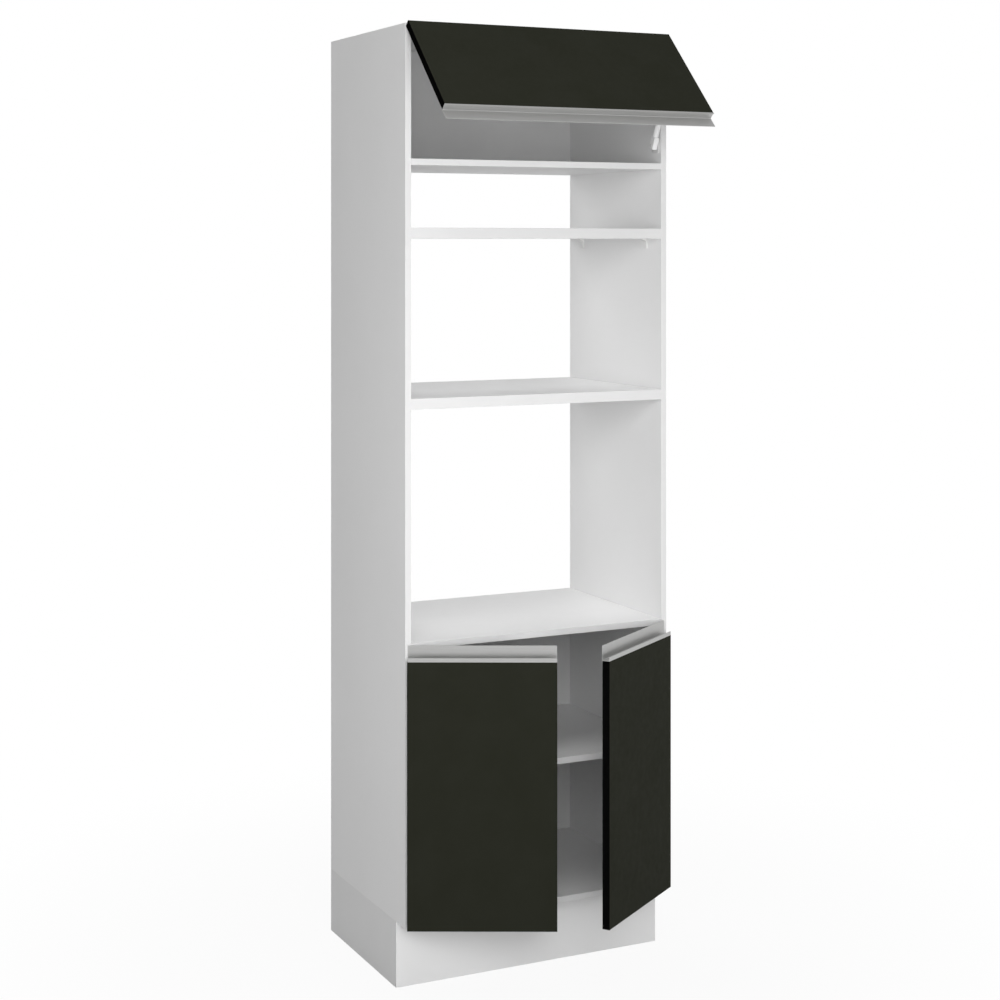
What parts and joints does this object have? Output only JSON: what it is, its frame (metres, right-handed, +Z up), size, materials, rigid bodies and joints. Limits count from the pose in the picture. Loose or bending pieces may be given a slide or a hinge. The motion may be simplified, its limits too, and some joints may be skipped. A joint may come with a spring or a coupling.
{
  "type": "tall kitchen oven cabinet",
  "caption": "Tall white kitchen cabinet with open niches for a built-in oven and microwave, black doors below, a black lift-up flap above, and channel handle profiles.",
  "frame": {"origin": "on the floor, in the middle of the cabinet's width and of its carcass depth", "axes": "+X to the cabinet's right as seen from the front, +Y to the back, +Z up"},
  "size_m": [0.7062, 0.7083, 2.2543],
  "materials": {
    "white_board": "satin white melamine faced chipboard",
    "white_plinth_board": "satin white melamine faced chipboard",
    "white_back_sheet": "white lacquered thin fibreboard",
    "softwood": "planed softwood",
    "beech": "fluted beech",
    "cast_cam": "cast zinc alloy",
    "fastener_steel": "bright zinc plated steel",
    "white_plastic": "matt white plastic",
    "bracket_steel": "light grey lacquered steel",
    "hinge_steel": "nickel plated pressed steel",
    "black_front": "matt olive-black melamine faced chipboard",
    "black_edge_band": "matt black edge band",
    "satin_aluminium": "satin anodised aluminium",
    "clear_bumper": "translucent soft plastic",
    "strut_tube": "light grey lacquered steel tube",
    "strut_plastic": "light grey plastic",
    "polished_rod": "polished hard-chromed steel"
  },
  "bodies": {
    "carcass": {"back_panel_nails": "fastener_steel", "bottom_panel": "white_board", "cam_bolts": "fastener_steel", "cam_caps": "white_plastic", "cam_housings": "cast_cam", "dowels": "beech", "flap_compartment_floor": "white_board", "hinge_arm_screws": "fastener_steel", "hinge_arms": "hinge_steel", "hinge_plates": "hinge_steel", "left_side_panel": "white_board", "lower_back_panel": "white_back_sheet", "microwave_shelf": "white_board", "middle_shelf": "white_board", "middle_shelf_pins": "fastener_steel", "mounting_screws": "fastener_steel", "niche_shelf": "white_board", "niche_shelf_clips": "white_plastic", "oven_shelf": "white_board", "plinth_back_board": "white_plinth_board", "plinth_corner_blocks": "softwood", "plinth_front_board": "white_plinth_board", "plinth_left_board": "white_plinth_board", "plinth_middle_rail": "white_plinth_board", "plinth_right_board": "white_plinth_board", "plinth_screws": "fastener_steel", "right_side_panel": "white_board", "strut_panel_bracket": "bracket_steel", "top_panel": "white_board", "upper_back_panel": "white_back_sheet", "wall_brackets": "bracket_steel"},
    "left_door": {"left_door_bumpers": "clear_bumper", "left_door_edge_bands": "black_edge_band", "left_door_handle": "satin_aluminium", "left_door_hinge_cups": "hinge_steel", "left_door_hinge_pins": "hinge_steel", "left_door_panel": "black_front", "left_door_screws": "fastener_steel"},
    "right_door": {"right_door_bumpers": "clear_bumper", "right_door_edge_bands": "black_edge_band", "right_door_handle": "satin_aluminium", "right_door_hinge_cups": "hinge_steel", "right_door_hinge_pins": "hinge_steel", "right_door_panel": "black_front", "right_door_screws": "fastener_steel"},
    "flap": {"flap_bumpers": "clear_bumper", "flap_edge_bands": "black_edge_band", "flap_handle": "satin_aluminium", "flap_hinge_cups": "hinge_steel", "flap_hinge_pins": "hinge_steel", "flap_panel": "black_front", "flap_screws": "fastener_steel", "flap_strut_bracket": "bracket_steel"},
    "strut_cylinder": {"strut_cylinder": "strut_tube", "strut_gland": "strut_plastic", "strut_lower_socket": "strut_plastic"},
    "strut_rod": {"strut_rod": "polished_rod", "strut_upper_pin": "polished_rod", "strut_upper_socket": "strut_plastic"}
  },
  "joints": [
    {"name": "left_door_hinge", "type": "hinge", "parent": "carcass", "child": "left_door", "pos_m": [-0.343, -0.25, 0.464], "axis": [0, 0, -1], "range_deg": [-26.2, 73.8]},
    {"name": "right_door_hinge", "type": "hinge", "parent": "carcass", "child": "right_door", "pos_m": [0.343, -0.25, 0.464], "axis": [0, 0, 1], "range_deg": [-35, 65]},
    {"name": "flap_hinge", "type": "hinge", "parent": "carcass", "child": "flap", "pos_m": [0, -0.25, 2.243], "axis": [-1, 0, 0], "range_deg": [-45, 20]},
    {"name": "strut_swing", "type": "hinge", "parent": "carcass", "child": "strut_cylinder", "pos_m": [0.325, -0.219, 1.981], "axis": [1, 0, 0], "range_deg": [-19.9, 8.9]},
    {"name": "strut_extend", "type": "slide", "parent": "strut_cylinder", "child": "strut_rod", "axis": [0, -0.4089, 0.9126], "range_m": [-0.0518, 0.0231]}
  ],
  "couplings": [
    {"joint": "strut_swing", "follows": "flap_hinge", "ratio": 0.44},
    {"joint": "strut_extend", "follows": "flap_hinge", "m_per_rad": 0.06589}
  ]
}
